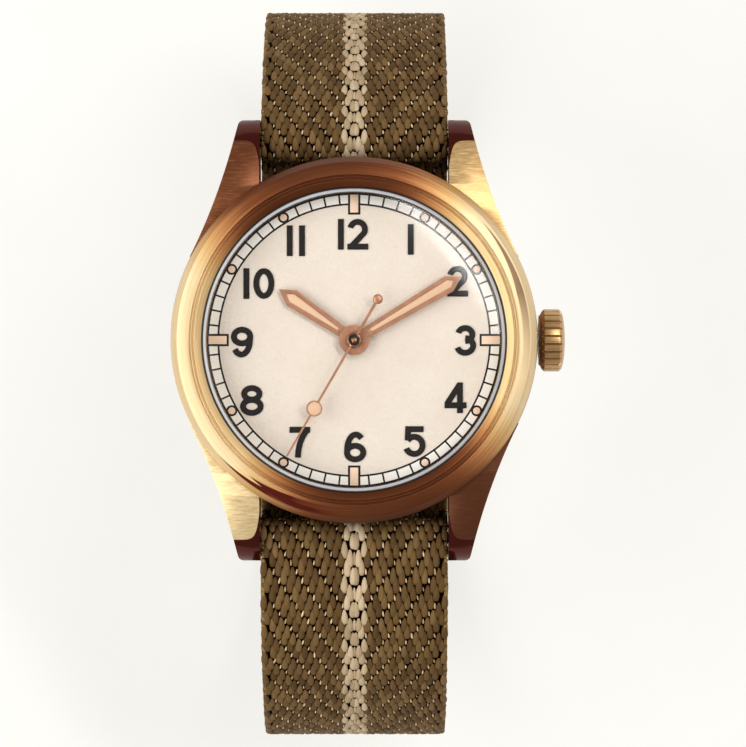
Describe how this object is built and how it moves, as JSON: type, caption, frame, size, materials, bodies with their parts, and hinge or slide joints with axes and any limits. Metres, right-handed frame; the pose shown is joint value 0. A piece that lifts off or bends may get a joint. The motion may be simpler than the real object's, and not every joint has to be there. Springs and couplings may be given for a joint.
{
  "type": "wristwatch",
  "caption": "Hand-wound wristwatch: round bronze case with fixed bezel, cream dial with numerals, centre seconds, woven band on spring bars, pin buckle.",
  "frame": {"origin": "on the dial axis, in the plane on which the closed band's keepers stand", "axes": "+Z the way the dial faces, +Y towards 12 o'clock, +X towards the crown"},
  "size_m": [0.0379, 0.0736, 0.0556],
  "materials": {
    "bronze": "circular-brushed bronze with polished edges",
    "copper": "polished rose-copper hands",
    "steel": "brushed",
    "movement_brass": "fine matte, gilt",
    "crystal": "clear, domed",
    "pale_plastic": "semi-matte",
    "black_rubber": "matte",
    "lume": "matte luminous filling",
    "dial_cream": "fine eggshell grain",
    "woven_nylon": "thick herringbone webbing with a pale centre stripe"
  },
  "bodies": {
    "case": {"mid_case": "bronze", "bezel": "bronze", "crystal": "crystal", "crystal_gasket": "black_rubber", "case_back": "steel", "case_back_gasket": "black_rubber", "spring_bar_12": "steel", "spring_bar_6": "steel", "dial": "dial_cream", "movement_ring": "pale_plastic", "crown_tube": "steel", "main_plate": "movement_brass", "barrel_bridge": "movement_brass", "train_bridge": "movement_brass", "balance_cock": "movement_brass", "pallet_bridge": "movement_brass", "crown_wheel_core": "steel", "click_spring": "steel", "strap_band": "woven_nylon", "buckle_bar": "steel", "fixed_keeper": "bronze"},
    "seconds": {"fourth_wheel": "movement_brass", "seconds_hand": "copper", "seconds_hand_lume": "lume"},
    "minutes": {"centre_wheel": "movement_brass", "cannon_pinion": "steel", "minute_hand": "copper", "minute_hand_lume": "lume"},
    "hours": {"hour_wheel": "movement_brass", "hour_hand": "copper", "hour_hand_lume": "lume"},
    "third": {"third_wheel": "movement_brass"},
    "barrel": {"barrel_drum": "movement_brass", "barrel_cover": "movement_brass", "mainspring": "steel"},
    "escape": {"escape_wheel": "steel"},
    "minute_work": {"minute_wheel": "movement_brass"},
    "setting_idler": {"setting_wheel": "steel"},
    "pallets": {"pallet_fork": "steel"},
    "balance": {"balance_wheel": "movement_brass", "balance_staff": "steel", "hairspring": "steel"},
    "winding": {"winding_pinion": "steel"},
    "crown_wheel_body": {"crown_wheel": "steel"},
    "ratchet": {"ratchet_wheel": "steel", "ratchet_screw": "steel", "barrel_arbor": "steel"},
    "crown_and_stem": {"crown": "bronze", "crown_gasket": "black_rubber", "winding_stem": "steel"},
    "clutch": {"clutch_wheel": "steel"},
    "setting_lever_body": {"setting_lever": "steel"},
    "yoke_body": {"yoke": "steel"},
    "click_body": {"click": "steel"},
    "buckle": {"buckle_frame": "bronze"},
    "tongue": {"buckle_tongue": "bronze"},
    "keeper": {"sliding_keeper": "bronze"}
  },
  "joints": [
    {"name": "seconds_turn", "type": "hinge", "parent": "case", "child": "seconds", "pos_m": [0, 0, 0.0512], "axis": [0, 0, -1], "continuous": true},
    {"name": "minutes_turn", "type": "hinge", "parent": "case", "child": "minutes", "pos_m": [0, 0, 0.0512], "axis": [0, 0, -1], "continuous": true},
    {"name": "hours_turn", "type": "hinge", "parent": "case", "child": "hours", "pos_m": [0, 0, 0.0512], "axis": [0, 0, -1], "continuous": true},
    {"name": "third_turn", "type": "hinge", "parent": "case", "child": "third", "pos_m": [-0.00468, 0.0027, 0.048], "axis": [0, 0, -1], "continuous": true},
    {"name": "barrel_turn", "type": "hinge", "parent": "case", "child": "barrel", "pos_m": [0.00318, 0.00544, 0.048], "axis": [0, 0, -1], "continuous": true},
    {"name": "escape_turn", "type": "hinge", "parent": "case", "child": "escape", "pos_m": [-0.00181, -0.00496, 0.048], "axis": [0, 0, -1], "continuous": true},
    {"name": "minute_work_turn", "type": "hinge", "parent": "case", "child": "minute_work", "pos_m": [0.0036, 0, 0.048], "axis": [0, 0, -1], "continuous": true},
    {"name": "setting_idler_turn", "type": "hinge", "parent": "case", "child": "setting_idler", "pos_m": [0.00756, 0, 0.048], "axis": [0, 0, -1], "continuous": true},
    {"name": "pallet_rock", "type": "hinge", "parent": "case", "child": "pallets", "pos_m": [0.00054, -0.00582, 0.048], "axis": [0, 0, -1], "range_deg": [-4.5, 4.5]},
    {"name": "balance_swing", "type": "hinge", "parent": "case", "child": "balance", "pos_m": [0.00312, -0.00675, 0.048], "axis": [0, 0, -1], "range_deg": [-270, 270], "stiffness_Nm_per_rad": 0.00000018},
    {"name": "crown_turn", "type": "hinge", "parent": "case", "child": "winding", "pos_m": [0.0106, 0, 0.0483], "axis": [1, 0, 0], "continuous": true},
    {"name": "crown_wheel_turn", "type": "hinge", "parent": "case", "child": "crown_wheel_body", "pos_m": [0.0079, 0, 0.048], "axis": [0, 0, -1], "continuous": true},
    {"name": "ratchet_turn", "type": "hinge", "parent": "case", "child": "ratchet", "pos_m": [0.00318, 0.00544, 0.048], "axis": [0, 0, -1], "continuous": true},
    {"name": "crown_pull", "type": "slide", "parent": "winding", "child": "crown_and_stem", "axis": [1, 0, 0], "range_m": [0, 0.0009]},
    {"name": "clutch_slide", "type": "slide", "parent": "winding", "child": "clutch", "axis": [1, 0, 0], "range_m": [-0.0008, 0]},
    {"name": "setting_lever_turn", "type": "hinge", "parent": "case", "child": "setting_lever_body", "pos_m": [0.0113, -0.0026, 0.049], "axis": [0, 0, 1], "range_deg": [-20, 0]},
    {"name": "yoke_turn", "type": "hinge", "parent": "case", "child": "yoke_body", "pos_m": [0.0089, -0.0034, 0.049], "axis": [0, 0, 1], "range_deg": [0, 16]},
    {"name": "click_rock", "type": "hinge", "parent": "case", "child": "click_body", "pos_m": [0.00211, 0.01149, 0.048], "axis": [0, 0, -1], "range_deg": [-3, 8]},
    {"name": "buckle_swing", "type": "hinge", "parent": "case", "child": "buckle", "pos_m": [0, -0.009, 0.0037], "axis": [1, 0, 0], "range_deg": [0, 4]},
    {"name": "tongue_swing", "type": "hinge", "parent": "buckle", "child": "tongue", "pos_m": [0, -0.009, 0.0037], "axis": [1, 0, 0], "range_deg": [0, 4]},
    {"name": "keeper_slide", "type": "slide", "parent": "case", "child": "keeper", "axis": [0, 1, 0], "range_m": [-0.003, 0.002]}
  ],
  "couplings": [
    {"joint": "third_turn", "follows": "seconds_turn", "ratio": -0.13333},
    {"joint": "minutes_turn", "follows": "seconds_turn", "ratio": 0.016667},
    {"joint": "barrel_turn", "follows": "seconds_turn", "ratio": -0.0027778},
    {"joint": "escape_turn", "follows": "seconds_turn", "ratio": -10},
    {"joint": "minute_work_turn", "follows": "seconds_turn", "ratio": -0.0055556},
    {"joint": "hours_turn", "follows": "seconds_turn", "ratio": 0.0013889},
    {"joint": "setting_idler_turn", "follows": "seconds_turn", "ratio": 0.011905},
    {"joint": "crown_wheel_turn", "follows": "crown_turn", "ratio": -0.66667},
    {"joint": "ratchet_turn", "follows": "crown_turn", "ratio": 0.33333},
    {"joint": "clutch_slide", "follows": "crown_pull", "ratio": -0.85},
    {"joint": "setting_lever_turn", "follows": "crown_pull", "rad_per_m": -385},
    {"joint": "yoke_turn", "follows": "crown_pull", "rad_per_m": 300}
  ]
}
